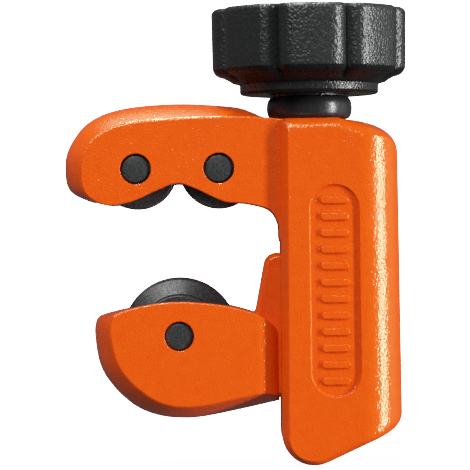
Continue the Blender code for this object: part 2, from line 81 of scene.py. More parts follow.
SCREW_RADIUS = 3.0
SCREW_PITCH = 1.0
SCREW_END = -49.6
PIN_RADIUS = 2.3
WHEEL_PIN_RADIUS = 2.2
RUNNING_GAP = 0.1
SEAT_GAP = 0.1
PRESS_FIT_GAP = 0.015


def to_row(point):
    return (Vector(point) + ORIGIN) * MM


# ---------------------------------------------------------------- outlines


def spline_outline(knots, corners=(), per_span=8):
    """A closed outline through the knots: a cubic through each span, with a break in
    direction at the knots whose numbers are in corners."""
    count = len(knots)

    def tangent(i, towards_next):
        here, before, after = knots[i], knots[i - 1], knots[(i + 1) % count]
        if i in corners:
            first, second = (here, after) if towards_next else (before, here)
            return second[0] - first[0], second[1] - first[1]
        return (after[0] - before[0]) / 2, (after[1] - before[1]) / 2

    points = []
    for i in range(count):
        j = (i + 1) % count
        leave, arrive = tangent(i, True), tangent(j, False)
        straight = i in corners and j in corners
        for step in range(1 if straight else per_span):
            t = step / per_span
            a, b = 2 * t**3 - 3 * t**2 + 1, t**3 - 2 * t**2 + t
            c, d = 3 * t**2 - 2 * t**3, t**3 - t**2
            points.append(
                tuple(a * knots[i][k] + b * leave[k] + c * knots[j][k] + d * arrive[k] for k in (0, 1))
            )
    return points


def rounded_outline(corners, segments=10):
    """A closed outline from (x, z, radius) corners, each rounded by an arc of that radius."""
    points = []
    count = len(corners)
    for i, (x, z, radius) in enumerate(corners):
        here = Vector((x, z))
        back = (Vector(corners[i - 1][:2]) - here).normalized()
        on = (Vector(corners[(i + 1) % count][:2]) - here).normalized()
        if radius <= 0:
            points.append((x, z))
            continue
        half = back.angle(on) / 2
        centre = here + (back + on).normalized() * (radius / math.sin(half))
        start = here + back * (radius / math.tan(half)) - centre
        finish = here + on * (radius / math.tan(half)) - centre
        sweep = start.angle_signed(finish)
        for step in range(segments + 1):
            point = centre + Matrix.Rotation(-sweep * step / segments, 2) @ start
            points.append((point.x, point.y))
    return points


def mixed(one, other, share):
    """The outline that lies this share of the way from one outline to the other."""
    return [(p[0] + (q[0] - p[0]) * share, p[1] + (q[1] - p[1]) * share) for p, q in zip(one, other)]


def inset(outline, depth):
    """The outline moved inwards by depth, each point along its own normal."""
    count = len(outline)
    area = sum(outline[i - 1][0] * outline[i][1] - outline[i][0] * outline[i - 1][1] for i in range(count))
    side = 1 if area > 0 else -1
    moved = []
    for i, (x, z) in enumerate(outline):
        before, after = outline[i - 1], outline[(i + 1) % count]
        along = Vector((after[0] - before[0], after[1] - before[1]))
        if along.length < 1e-9:
            moved.append((x, z))
            continue
        along.normalize()
        moved.append((x - side * along.y * depth, z + side * along.x * depth))
    return moved


def circle(radius, segments):
    angles = (2 * math.pi * i / segments for i in range(segments))
    return [(radius * math.cos(a), radius * math.sin(a)) for a in angles]


def edge_drop(depth, radius):
    """How far a rounded edge of this radius lies inside its corner, at this depth from the face."""
    if depth >= radius:
        return 0.0
    return radius - math.sqrt(radius**2 - (radius - depth) ** 2)


def edge_depths(radius, steps):
    """Depths from the face that divide a rounded edge of this radius into equal turns."""
    return [radius * (1 - math.cos(math.pi / 2 * i / steps)) for i in range(steps + 1)]


# ---------------------------------------------------------------- solids


def make_object(name, build):
    """A new object whose mesh is what build makes of an empty one."""
    mesh = bpy.data.meshes.new(name)
    shape = bmesh.new()
    build(shape)
    bmesh.ops.recalc_face_normals(shape, faces=shape.faces)
    shape.to_mesh(mesh)
    shape.free()
    made = bpy.data.objects.new(name, mesh)
    bpy.context.scene.collection.objects.link(made)
    return made


def loft(name, rings):
    """A closed solid through rings of (x, y, z) points, capped at both ends."""

    def build(shape):
        loops = [[shape.verts.new(to_row(p)) for p in ring] for ring in rings]
        for below, above in zip(loops, loops[1:]):
            for i in range(len(below)):
                j = (i + 1) % len(below)
                shape.faces.new((below[i], below[j], above[j], above[i]))
        bmesh.ops.triangulate(shape, faces=shape.faces)
        shape.faces.new(loops[0][::-1])
        shape.faces.new(loops[-1])

    return make_object(name, build)


def plate(name, outline, y_from, y_to):
    """A solid between two depths, from an (x, z) outline."""
    return loft(name, [[(x, y, z) for x, z in outline] for y in (y_from, y_to)])


def column(name, outline, z_from, z_to):
    """A solid between two heights, from an (x, y) outline."""
    return loft(name, [[(x, y, z) for x, y in outline] for z in (z_from, z_to)])


def turned(name, profile, segments, middle=(0.0, 0.0), along_y=False):
    """A closed (radius, height) profile turned about a line through middle = (x, z), which
    runs along Y, or about the feed screw's axis."""
    angles = [2 * math.pi * i / segments for i in range(segments)]

    def spot(radius, angle, height):
        if along_y:
            return to_row(
                (middle[0] + radius * math.cos(angle), height, middle[1] + radius * math.sin(angle))
            )
        return to_row((radius * math.cos(angle), radius * math.sin(angle), height))

    def build(shape):
        rings = []
        for radius, height in profile:
            if radius < 1e-6:
                rings.append([shape.verts.new(spot(0, 0, height))] * segments)
            else:
                rings.append([shape.verts.new(spot(radius, a, height)) for a in angles])
        for k in range(len(rings)):
            one, other = rings[k], rings[(k + 1) % len(rings)]
            for i in range(segments):
                j = (i + 1) % segments
                corners = list(dict.fromkeys((one[i], one[j], other[j], other[i])))
                if len(corners) > 2:
                    shape.faces.new(corners)

    return make_object(name, build)


def boolean(made, operation, other, solver="EXACT"):
    """Joins other to the piece, or takes it out of it, once apply_all is called."""
    modifier = made.modifiers.new(other.name, "BOOLEAN")
    modifier.operation = operation
    modifier.solver = solver
    modifier.object = other


def cut(made, cutter, solver="EXACT"):
    boolean(made, "DIFFERENCE", cutter, solver)


def apply_all(made):
    """Applies the piece's modifiers, and removes the solids that they used."""
    used = [m.object for m in made.modifiers if m.type == "BOOLEAN"]
    graph = bpy.context.evaluated_depsgraph_get()
    mesh = bpy.data.meshes.new_from_object(made.evaluated_get(graph))
    made.modifiers.clear()
    old = made.data
    made.data = mesh
    mesh.name = made.name
    bpy.data.meshes.remove(old)
    for other in used:
        bpy.data.objects.remove(other, do_unlink=True)
    return made


def finish(made, material, body, node, slot, sharp_angle):
    """Gives a piece its material and shading, puts it in its body, and hides the CAD node that it stands
    for.
    """
    made.data.materials.clear()
    made.data.materials.append(material)
    made.data.shade_smooth()
    made.data.set_sharp_from_angle(angle=math.radians(sharp_angle))
    modifier = made.modifiers.new("even_normals", "WEIGHTED_NORMAL")
    modifier.keep_sharp = True
    modifier.weight = 50
    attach(made, body)
    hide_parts(node)
    return made


# ---------------------------------------------------------------- materials


NOISE_MIDDLE = (0.3, 0.7)


class Look:
    """A Principled material whose textures are laid out in the row frame, in millimetres."""

    def __init__(self, name, colour, roughness, metallic=0.0):
        self.material = bpy.data.materials.new(name)
        self.material.use_nodes = True
        self.tree = self.material.node_tree
        self.shader = self.tree.nodes["Principled BSDF"]
        self.shader.inputs["Base Color"].default_value = (*colour, 1.0)
        self.shader.inputs["Roughness"].default_value = roughness
        self.shader.inputs["Metallic"].default_value = metallic
        self.normal = None
        coordinates = self.tree.nodes.new("ShaderNodeTexCoord")
        scale = self.tree.nodes.new("ShaderNodeVectorMath")
        scale.operation = "SCALE"
        scale.inputs["Scale"].default_value = 1 / MM
        self.tree.links.new(coordinates.outputs["Object"], scale.inputs[0])
        self.place = scale.outputs["Vector"]

    def set(self, **values):
        for name, value in values.items():
            self.shader.inputs[name.replace("_", " ")].default_value = value
        return self

    def noise(self, size, detail=3.0, roughness=0.55):
        """Noise whose features are about size mm across."""
        node = self.tree.nodes.new("ShaderNodeTexNoise")
        node.inputs["Scale"].default_value = 1 / size
        node.inputs["Detail"].default_value = detail
        node.inputs["Roughness"].default_value = roughness
        self.tree.links.new(self.place, node.inputs["Vector"])
        return node.outputs["Fac"]

    def cells(self, size):
        """Soft pebbles about size mm across."""
        node = self.tree.nodes.new("ShaderNodeTexVoronoi")
        node.feature = "SMOOTH_F1"
        node.inputs["Scale"].default_value = 1 / size
        node.inputs["Smoothness"].default_value = 0.35
        self.tree.links.new(self.place, node.inputs["Vector"])
        return node.outputs["Distance"]

    def scaled(self, source, factors):
        """The vector times the factors, part by part."""
        node = self.tree.nodes.new("ShaderNodeVectorMath")
        node.operation = "MULTIPLY"
        node.inputs[1].default_value = factors
        self.tree.links.new(source, node.inputs[0])
        return node.outputs["Vector"]

    def radius(self, middle, along_y=True):
        """The distance from a line along Y through middle = (x, z), or from the screw's axis."""
        shift = self.tree.nodes.new("ShaderNodeVectorMath")
        shift.operation = "SUBTRACT"
        if along_y:
            shift.inputs[1].default_value = (middle[0] + ORIGIN.x, 0, middle[1] + ORIGIN.z)
        else:
            shift.inputs[1].default_value = (ORIGIN.x, 0, 0)
        self.tree.links.new(self.place, shift.inputs[0])
        flat = self.scaled(shift.outputs["Vector"], (1, 0, 1) if along_y else (1, 1, 0))
        length = self.tree.nodes.new("ShaderNodeVectorMath")
        length.operation = "LENGTH"
        self.tree.links.new(flat, length.inputs[0])
        return length.outputs["Value"]

    def line_noise(self, source, size, detail=2.0):
        """Noise along one number, for lathe marks."""
        node = self.tree.nodes.new("ShaderNodeTexNoise")
        node.noise_dimensions = "1D"
        node.inputs["Scale"].default_value = 1 / size
        node.inputs["Detail"].default_value = detail
        self.tree.links.new(source, node.inputs["W"])
        return node.outputs["Fac"]

    def spread(self, source, low, high, out_low, out_high):
        """The number carried from low..high to out_low..out_high, and held there beyond them."""
        node = self.tree.nodes.new("ShaderNodeMapRange")
        node.inputs["From Min"].default_value = low
        node.inputs["From Max"].default_value = high
        node.inputs["To Min"].default_value = out_low
        node.inputs["To Max"].default_value = out_high
        self.tree.links.new(source, node.inputs["Value"])
        return node.outputs["Result"]

    def rough(self, source, low, high):
        """Roughness from low to high as the noise goes through its middle range."""
        varied = self.spread(source, *NOISE_MIDDLE, low, high)
        self.tree.links.new(varied, self.shader.inputs["Roughness"])
        return self

    def colour(self, factor, one, other):
        """Mixes two colours by a 0..1 factor into the base colour."""
        node = self.tree.nodes.new("ShaderNodeMix")
        node.data_type = "RGBA"
        node.inputs["A"].default_value = (*one, 1.0)
        node.inputs["B"].default_value = (*other, 1.0)
        self.tree.links.new(factor, node.inputs["Factor"])
        self.tree.links.new(node.outputs["Result"], self.shader.inputs["Base Color"])
        return self

    def bump(self, source, height):
        """Adds relief of this height in millimetres."""
        node = self.tree.nodes.new("ShaderNodeBump")
        node.inputs["Strength"].default_value = 1.0
        node.inputs["Distance"].default_value = height * MM
        self.tree.links.new(source, node.inputs["Height"])
        if self.normal:
            self.tree.links.new(self.normal, node.inputs["Normal"])
        self.normal = node.outputs["Normal"]
        self.tree.links.new(self.normal, self.shader.inputs["Normal"])
        return self


def paint_look(name):
    """Orange powder coat: a saturated base, a fine orange peel and a glossy skin."""
    look = Look(name, (0.90, 0.085, 0.002), 0.3)
    look.set(IOR=1.5, Specular_IOR_Level=1.0, Specular_Tint=(1.0, 0.8, 0.45, 1.0))
    clouds = look.spread(look.noise(1.3, 4.0), *NOISE_MIDDLE, 0.0, 1.0)
    look.colour(clouds, (0.86, 0.079, 0.0015), (0.93, 0.091, 0.003))
    look.rough(look.noise(0.6), 0.15, 0.21)
    look.bump(look.noise(0.6, 2.0, 0.5), 0.014)
    look.bump(look.noise(0.3, 1.0, 0.5), 0.07)
    return look.material


def oxide_look(name, middle=None, along_y=True):
    """Black oxide on ground steel, with lathe marks about the piece's own axis."""
    look = Look(name, (0.045, 0.047, 0.050), 0.4, 0.3)
    mottling = look.spread(look.noise(0.3, 5.0), 0.35, 0.65, 0.0, 1.0)
    look.colour(mottling, (0.022, 0.023, 0.024), (0.062, 0.065, 0.066))
    look.rough(look.noise(0.5, 4.0), 0.22, 0.36)
    look.bump(look.noise(0.22, 3.0), 0.006)
    if middle is not None:
        marks = look.line_noise(look.radius(middle, along_y), 0.12)
        look.bump(marks, 0.004)
    return look.material


def zinc_look(name):
    """Zinc plate, dulled here and there."""
    look = Look(name, (0.55, 0.55, 0.54), 0.3, 1.0)
    look.colour(look.noise(1.5, 3.0), (0.46, 0.46, 0.45), (0.62, 0.61, 0.58))
    look.rough(look.noise(0.4), 0.22, 0.4)
    look.bump(look.noise(0.15), 0.004)
    return look.material


def knob_look(name, gloss=0.45, painted_shade_factor=1.0):
    """Black moulding with a coarse leather-like grain, its colour dimmed by the last argument, which paints
    shade into it when below 1.
    """
    look = Look(name, (0.014, 0.0145, 0.015), 0.3)
    look.set(IOR=1.5, Specular_IOR_Level=gloss)
    dark = [part * painted_shade_factor for part in (0.013, 0.0138, 0.0142)]
    light = [part * painted_shade_factor for part in (0.024, 0.0255, 0.026)]
    look.colour(look.noise(0.8, 3.0), dark, light)
    look.rough(look.noise(0.45), 0.22, 0.32)
    look.bump(look.cells(0.42), 0.08)
    look.bump(look.noise(0.24, 3.0), 0.05)
    return look.material


def collar_look(name):
    """The same black moulding left smooth."""
    look = Look(name, (0.018, 0.019, 0.020), 0.28)
    look.set(IOR=1.5)
    look.rough(look.noise(0.5), 0.22, 0.36)
    look.bump(look.noise(0.7, 2.0), 0.02)
    return look.material


# ---------------------------------------------------------------- castings

ARM_MIDDLE = [
    (-2.0, -0.3), (-6.1, 0.1), (-8.8, 1.3), (-11.8, 2.15), (-20.2, 2.67), (-28.6, 1.96),
    (-33.6, -0.1), (-36.5, -3.9), (-37.1, -7.4), (-36.4, -10.3), (-33.7, -11.9), (-30.3, -12.66),
    (-26.8, -12.1), (-22.85, -10.4), (-20.0, -9.5), (-17.15, -10.4), (-13.2, -12.25), (-9.6, -12.65),
    (-6.4, -13.6), (-5.05, -15.6), (-4.65, -18.5), (-2.0, -18.5),
]  # fmt: skip
ARM_FACE = ARM_MIDDLE[:2] + [
    (-8.8, 0.3), (-11.8, 0.35), (-20.2, 0.1), (-27.6, -0.55),
    (-31.9, -2.3), (-33.9, -4.9), (-34.4, -7.9), (-33.9, -10.4), (-32.6, -11.8), (-30.3, -12.66),
] + ARM_MIDDLE[12:]  # fmt: skip
ARM_CORNERS = (0, len(ARM_MIDDLE) - 1)
JAW_RIGHT = -5.1
JAW_MIDDLE = [
    (JAW_RIGHT, -33.0), (-5.4, -31.6), (-6.3, -30.5), (-7.6, -29.6), (-9.6, -28.75),
    (-12.8, -27.9), (-16.4, -27.4), (-20.1, -27.2), (-23.3, -27.4), (-27.7, -28.1),
    (-31.3, -28.9), (-32.6, -29.8), (-32.9, -32.2), (-32.1, -36.8), (-29.9, -40.3),
    (-26.7, -43.1), (-23.2, -44.5), (-19.6, -44.9), (-16.4, -44.7), (-10.6, -43.6),
    (JAW_RIGHT, -42.4),
]  # fmt: skip
JAW_FACE = JAW_MIDDLE[:9] + [
    (-26.5, -27.95), (-28.9, -28.7), (-30.0, -29.6), (-30.3, -31.9), (-29.3, -36.1),
    (-27.3, -39.0), (-24.5, -41.3), (-22.0, -42.45), (-19.6, -42.8), (-16.2, -42.6), (-10.6, -41.5),
    (JAW_RIGHT, -40.4),
]  # fmt: skip
JAW_CORNERS = (0, len(JAW_MIDDLE) - 1)
JAW_TURN_RADIUS = 3.4
CAST_EDGE = 0.22


def crowned(name, middle, face, half_thickness):
    """A casting whose outline grows from the face outline to the mid-plane outline, with a
    small cast radius where its sides meet its faces."""
    depths = edge_depths(CAST_EDGE, 4)
    depths += [half_thickness * share for share in (0.06, 0.1, 0.16, 0.24, 0.34, 0.46, 0.6, 0.78)]
    levels = [-half_thickness + d for d in depths] + [0.0] + [half_thickness - d for d in reversed(depths)]
    rings = []
    for y in levels:
        outline = mixed(middle, face, (y / half_thickness) ** 2)
        outline = inset(outline, edge_drop(half_thickness - abs(y), CAST_EDGE))
        rings.append([(x, y, z) for x, z in outline])
    return loft(name, rings)


SPINE_ROUND = 6.0
SPINE_BEVEL = 1.0
SPINE_BEVEL_DEPTH = 1.4
SPINE_FOOT_SLOPE = 0.455
SPINE_FOOT_ROUND = 4.8
SPINE_FOOT_AT_AXIS = SPINE_BOTTOM - 0.42
SEAT_RIGHT = 4.2
SHOULDER_DROP = 5.2


def shoulder(x):
    """Height of the spine's top over its mid-plane: flat, then falling ever faster to its back."""
    t = min(1.0, max(0.0, (x - SEAT_RIGHT) / (SPINE_TOP_RIGHT - SEAT_RIGHT)))
    return -SHOULDER_DROP * (1 - (1 - t**2) ** (1 / 2.6))


def spine_ring(y):
    """The spine's (x, z) outline at this depth: a bevel on its left, a palm round on its right,
    a crowned shoulder at its top right and a foot that slopes up to the right."""
    depth = SPINE_HALF_THICKNESS - abs(y)
    turn = max(0.0, 1 - depth / SPINE_ROUND)
    rounding = SPINE_ROUND * (1 - math.sqrt(1 - turn**2))
    slope = SPINE_BEVEL * (1 - depth / SPINE_BEVEL_DEPTH)
    bevel = (slope + math.sqrt(slope**2 + 0.02)) / 2 + edge_drop(depth, 0.25)
    soft = edge_drop(depth, 1.7)
    top_left, foot_left = SPINE_TOP_LEFT + bevel, SPINE_FOOT_LEFT + bevel
    top_right, foot_right = SPINE_TOP_RIGHT - rounding, SPINE_FOOT_RIGHT - rounding
    foot = SPINE_FOOT_AT_AXIS + soft * 0.8
    left_side = rounded_outline(
        [
            (foot_left, foot + SPINE_FOOT_SLOPE * foot_left, SPINE_FOOT_ROUND - soft),
            (top_left, -soft, 1.0),
            (SEAT_RIGHT, -soft, 0),
            (foot_right, -30, 0),
            (foot_right, foot + SPINE_FOOT_SLOPE * foot_right, 3.2),
        ],
        12,
    )
    first, second, seat, last = left_side[:13], left_side[13:26], left_side[26], left_side[28:]
    crown = (y / SPINE_HALF_THICKNESS) ** 2
    top = []
    steps = 18
    for i in range(1, steps + 1):
        share = math.sin(math.pi / 2 * i / steps)
        x = SEAT_RIGHT + (top_right - SEAT_RIGHT) * share
        drop = 0.24 * max(0.0, x - 3.3) * crown + 0.3 * (1 - math.sqrt(max(0.0, 1 - share**10)))
        top.append((x, shoulder(x) - drop - soft))
    return first + second + [seat] + top + last


def spine_solid():
    depths = [0.0, 0.03, 0.08, 0.15, 0.25, 0.4, 0.6, 0.8, 1.0]
    depths += [1.2, 1.35, 1.5, 1.8, 2.2, 2.8, 3.5, 4.4, 5.6]
    half = SPINE_HALF_THICKNESS
    levels = [-half + d for d in depths] + [0.0] + [half - d for d in reversed(depths)]
    return loft("spine", [[(x, y, z) for x, z in spine_ring(y)] for y in levels])


HOLE_RIM = 0.08


def pin_hole(name, x, z, radius, half_length):
    """A cutter for a hole along Y whose rim at the two faces is broken."""
    rim = HOLE_RIM
    profile = [
        (0, -half_length - 1),
        (radius + rim + 1, -half_length - 1),
        (radius, -half_length + rim),
        (radius, half_length - rim),
        (radius + rim + 1, half_length + 1),
        (0, half_length + 1),
    ]
    return turned(name, profile, 64, (x, z), along_y=True)


PLAQUE_HALF_WIDTH = 3.75
PLAQUE_TOP = -9.9
PLAQUE_BOTTOM = -41.6
PLAQUE_X = 3.27
PLAQUE_DEPTH = 0.5
GRIP_RIBS = 12
GRIP_RIB_LENGTH = 4.2
GRIP_RIB_WIDTH = 1.1
GRIP_RIB_MARGIN = 2.4


def slot_outline(left, right, low, high, corner, segments):
    """An upright rectangle of (x, z) points with rounded corners."""
    corners = [(left, low, corner), (left, high, corner), (right, high, corner), (right, low, corner)]
    return rounded_outline(corners, segments)


def plaque_cutter(side):
    """The recess in the spine's face, with round ends: walls that lean a little, with soft
    edges above and below."""
    walls = [
        (PLAQUE_DEPTH, -0.3),
        (PLAQUE_DEPTH - 0.03, -0.2),
        (PLAQUE_DEPTH - 0.12, -0.13),
        (0.1, -0.05),
        (0.03, 0.0),
        (0.0, 0.07),
        (-0.5, 0.9),
    ]
    rings = []
    for depth, grow in walls:
        y = side * (SPINE_HALF_THICKNESS - depth)
        width = PLAQUE_HALF_WIDTH + grow
        outline = slot_outline(
            PLAQUE_X - width, PLAQUE_X + width, PLAQUE_BOTTOM - grow, PLAQUE_TOP + grow, width - 0.02, 16
        )
        rings.append([(x, y, z) for x, z in outline])
    return loft(f"plaque_{side}", rings)


def grip_rib(side, number):
    """One raised rib across the recess's floor, rounded at its ends and along its top."""
    first = PLAQUE_BOTTOM + GRIP_RIB_MARGIN
    pitch = (PLAQUE_TOP - GRIP_RIB_MARGIN - first) / (GRIP_RIBS - 1)
    z = first + number * pitch
    floor = SPINE_HALF_THICKNESS - PLAQUE_DEPTH
    rings = []
    for rise, shrink in ((-0.1, -0.1), (0.02, -0.03), (0.06, 0.0), (0.36, 0.05), (0.42, 0.1), (0.45, 0.2)):
        half_x, half_z = GRIP_RIB_LENGTH / 2 - shrink, GRIP_RIB_WIDTH / 2 - shrink
        outline = slot_outline(
            PLAQUE_X - half_x, PLAQUE_X + half_x, z - half_z, z + half_z, half_z - 0.01, 6
        )
        rings.append([(x, side * (floor + rise), zz) for x, zz in outline])
    return loft(f"rib_{side}_{number}", rings)


def roller_x(side):
    """The x of a roller's axis, for side -1 on the left and 1 on the right."""
    return JAW_MIDDLE_X + side * ROLLER_PITCH / 2


def frame_casting():
    """The arm and the spine, with the rollers' pocket and the slide's channel, which is open
    to the left and at the foot."""
    middle = spline_outline(ARM_MIDDLE, ARM_CORNERS)
    face = spline_outline(ARM_FACE, ARM_CORNERS)
    made = crowned("frame_casting", middle, face, ARM_HALF_THICKNESS)
    boolean(made, "UNION", spine_solid())
    width = CHANNEL_HALF_WIDTH
    gap = 0.5
    ceiling = ROLLER_Z + ROLLER_RADIUS + gap
    left = roller_x(-1) - ROLLER_RADIUS - gap
    pocket = rounded_outline(
        [
            (left, -20, 0),
            (left, ceiling, ROLLER_RADIUS),
            (-7.0, ceiling, 4.0),
            (-7.0, -TOP_WALL, 0),
            (CHANNEL_BACK, -TOP_WALL, 1.0),
            (CHANNEL_BACK, SPINE_BOTTOM - 1, 0),
            (-9.0, SPINE_BOTTOM - 1, 0),
            (-9.0, -20, 0),
        ]
    )
    cut(made, plate("channel", pocket, -width, width))
    cut(made, column("screw_hole", circle(SCREW_RADIUS + 0.2, 48), -TOP_WALL - 1, 1))
    apply_all(made)
    for side in (-1, 1):
        cut(made, plaque_cutter(side), "MANIFOLD")
    for side in (-1, 1):
        for number in range(GRIP_RIBS):
            boolean(made, "UNION", grip_rib(side, number), "MANIFOLD")
    apply_all(made)
    for side in (-1, 1):
        radius = PIN_RADIUS + PRESS_FIT_GAP
        cut(made, pin_hole(f"pin_hole_{side}", roller_x(side), ROLLER_Z, radius, ARM_HALF_THICKNESS))
    return apply_all(made)


WHEEL_SLOT_HALF_WIDTH = 2.9
WHEEL_SLOT_LEFT = -29.6
WHEEL_SLOT_RIGHT = -9.6
WHEEL_SLOT_BOTTOM = -41.7
PIN_HEAD_RADIUS = 3.1
PIN_HEAD_HEIGHT = 1.1


def jaw_turn_cutter(side):
    """What is cut off the jaw's right corner, so that its face turns in towards the channel."""
    radius = JAW_TURN_RADIUS
    half = ARM_HALF_THICKNESS
    steps = 14
    arc = [
        (JAW_RIGHT - radius + radius * math.sin(a), half - radius + radius * math.cos(a))
        for a in (math.pi / 2 * i / steps for i in range(steps + 1))
    ]
    beyond = JAW_RIGHT + 0.5
    corner = [(beyond, half - radius), (beyond, half + 0.5), (JAW_RIGHT - radius, half + 0.5)]
    return column(f"slide_turn_{side}", [(x, side * y) for x, y in arc + corner], -46, -26)


def guide_block():
    """The part of the slide that runs in the channel, on the screw."""
    outline = rounded_outline(
        [
            (-11.0, GUIDE_BOTTOM + 3, 0),
            (-11.0, -30.0, 0),
            (-8.6, -28.9, 0.9),
            (-6.9, GUIDE_TOP, 2.0),
            (GUIDE_RIGHT, GUIDE_TOP, 0.6),
            (GUIDE_RIGHT, GUIDE_BOTTOM, 0.6),
            (-6.0, GUIDE_BOTTOM, 0),
        ],
        8,
    )
    bevel = 0.75
    half = GUIDE_HALF_WIDTH
    steps = [(0.0, bevel), (0.04, bevel - 0.13), (0.12, bevel - 0.26)]
    steps += [(0.55, 0.12), (0.7, 0.03), (0.9, 0.0)]
    levels = [(-half + d, i) for d, i in steps] + [(half - d, i) for d, i in reversed(steps)]
    return loft("guide", [[(x, y, z) for x, z in inset(outline, i)] for y, i in levels])


def slide_casting():
    """The jaw and its guide block, with the wheel's slot, the screw's bore and the pin's seat."""
    middle = spline_outline(JAW_MIDDLE, JAW_CORNERS)
    face = spline_outline(JAW_FACE, JAW_CORNERS)
    made = crowned("slide_casting", middle, face, ARM_HALF_THICKNESS)
    for side in (-1, 1):
        cut(made, jaw_turn_cutter(side))
    boolean(made, "UNION", guide_block())
    slot = rounded_outline(
        [
            (WHEEL_SLOT_LEFT, -25, 0),
            (WHEEL_SLOT_RIGHT, -25, 0),
            (WHEEL_SLOT_RIGHT, WHEEL_SLOT_BOTTOM, WHEEL_RADIUS - 0.5),
            (WHEEL_SLOT_LEFT, WHEEL_SLOT_BOTTOM, WHEEL_RADIUS - 0.5),
        ],
        14,
    )
    cut(made, plate("wheel_slot", slot, -WHEEL_SLOT_HALF_WIDTH, WHEEL_SLOT_HALF_WIDTH))
    bore = circle(SCREW_RADIUS + RUNNING_GAP, 48)
    cut(made, column("screw_bore", bore, GUIDE_BOTTOM - 3, GUIDE_TOP + 1))
    half, rim = ARM_HALF_THICKNESS, HOLE_RIM
    radius, head = WHEEL_PIN_RADIUS + PRESS_FIT_GAP, PIN_HEAD_RADIUS + 0.2
    seat = half - PIN_HEAD_HEIGHT - 0.2
    profile = [
        (0, -half - 1),
        (radius + rim + 1, -half - 1),
        (radius, -half + rim),
        (radius, seat),
        (head, seat),
        (head, half - rim),
        (head + rim + 1, half + 1),
        (0, half + 1),
    ]
    cut(made, turned("wheel_pin_hole", profile, 64, (JAW_MIDDLE_X, WHEEL_Z), along_y=True))
    return apply_all(made)


# ---------------------------------------------------------------- turned pieces


def roller(label, side):
    half, bore, edge = ROLLER_HALF_LENGTH, PIN_RADIUS + RUNNING_GAP, 0.35
    groove_half, groove_depth = 0.9, 1.1
    corners = [
        (bore, -half, 0.1),
        (ROLLER_RADIUS, -half, edge),
        (ROLLER_RADIUS, -groove_half, 0.12),
        (ROLLER_RADIUS - groove_depth, 0.0, 0.25),
        (ROLLER_RADIUS, groove_half, 0.12),
        (ROLLER_RADIUS, half, edge),
        (bore, half, 0.1),
    ]
    profile = rounded_outline(corners, 5)
    made = turned(f"roller_{label}_steel", profile, 96, (roller_x(side), ROLLER_Z), along_y=True)
    look = oxide_look(f"roller_{label}_oxide", (roller_x(side), ROLLER_Z))
    return finish(made, look, f"roller_{label}", f"roller_{label}", "black_oxide_steel", 40)


def roller_pin(label, side):
    """A press-fitted pin whose end face stands inside a thin dark ring."""
    half, face = ARM_HALF_THICKNESS - 0.25, PIN_RADIUS - 0.36
    groove, groove_depth = PIN_RADIUS - 0.3, 0.8
    floor = half - groove_depth
    end = [(0, half, 0), (face, half - 0.04, 0.07), (groove, floor, 0.03), (PIN_RADIUS, floor, 0.02)]
    corners = [(radius, -height, round_radius) for radius, height, round_radius in end] + end[::-1]
    profile = rounded_outline(corners, 3)
    made = turned(f"roller_pin_{label}_steel", profile, 64, (roller_x(side), ROLLER_Z), along_y=True)
    look = oxide_look(f"roller_pin_{label}_oxide", (roller_x(side), ROLLER_Z))
    return finish(made, look, "frame", f"roller_pin_{label}", "black_oxide_steel", 40)


def cutter_wheel():
    """The wheel: a hub on each side of a disc that thins to its cutting edge."""
    half, bore = WHEEL_HALF_WIDTH, WHEEL_PIN_RADIUS + RUNNING_GAP
    edge_start, edge_half = WHEEL_RADIUS - 0.45, 0.32
    side = [
        (bore, half, 0.1),
        (WHEEL_HUB_RADIUS, half, 0.25),
        (WHEEL_HUB_RADIUS, 0.95, 0.3),
        (edge_start, edge_half, 0.05),
        (WHEEL_RADIUS, 0.02, 0),
    ]
    corners = side + [(radius, -height, round_radius) for radius, height, round_radius in reversed(side)]
    profile = rounded_outline(corners, 5)
    made = turned("cutter_wheel_steel", profile, 144, (JAW_MIDDLE_X, WHEEL_Z), along_y=True)
    look = oxide_look("cutter_wheel_oxide", (JAW_MIDDLE_X, WHEEL_Z))
    return finish(made, look, "cutter_wheel", "cutter_wheel", "black_oxide_steel", 35)


def wheel_pin():
    """The wheel's pin, whose head has a screwdriver slot and lies in a seat in the jaw's back."""
    tip = -ARM_HALF_THICKNESS + 0.35
    seat = ARM_HALF_THICKNESS - PIN_HEAD_HEIGHT - 0.1
    top = seat + PIN_HEAD_HEIGHT
    corners = [
        (0, tip, 0),
        (WHEEL_PIN_RADIUS - 0.4, tip, 0.08),
        (WHEEL_PIN_RADIUS, tip + 0.4, 0.1),
        (WHEEL_PIN_RADIUS, seat, 0.05),
        (PIN_HEAD_RADIUS, seat, 0.1),
        (PIN_HEAD_RADIUS, top, 0.3),
        (0, top, 0),
    ]
    profile = rounded_outline(corners, 4)
    made = turned("wheel_pin_steel", profile, 64, (JAW_MIDDLE_X, WHEEL_Z), along_y=True)
    slot = [(-4, -0.45), (4, -0.45), (4, 0.45), (-4, 0.45)]
    driver = [(JAW_MIDDLE_X + x, WHEEL_Z + z) for x, z in slot]
    cut(made, plate("driver_slot", driver, top - 0.6, top + 1))
    apply_all(made)
    look = oxide_look("wheel_pin_oxide", (JAW_MIDDLE_X, WHEEL_Z))
    return finish(made, look, "slide", "wheel_pin", "black_oxide_steel", 35)


# ---------------------------------------------------------------- knob and screw


def knob_radius(angle):
    """The knob's radius: lobes flatter than a circle, with a narrow groove between each two."""
    pitch = 2 * math.pi / KNOB_LOBES
    off = (angle + pitch / 2) % pitch - pitch / 2
    lobe = KNOB_RADIUS * (1 + 0.6 * (1 / math.cos(off) - 1))
    share = abs(off) / (pitch / 2)
    return lobe - KNOB_GROOVE_DEPTH * share**5


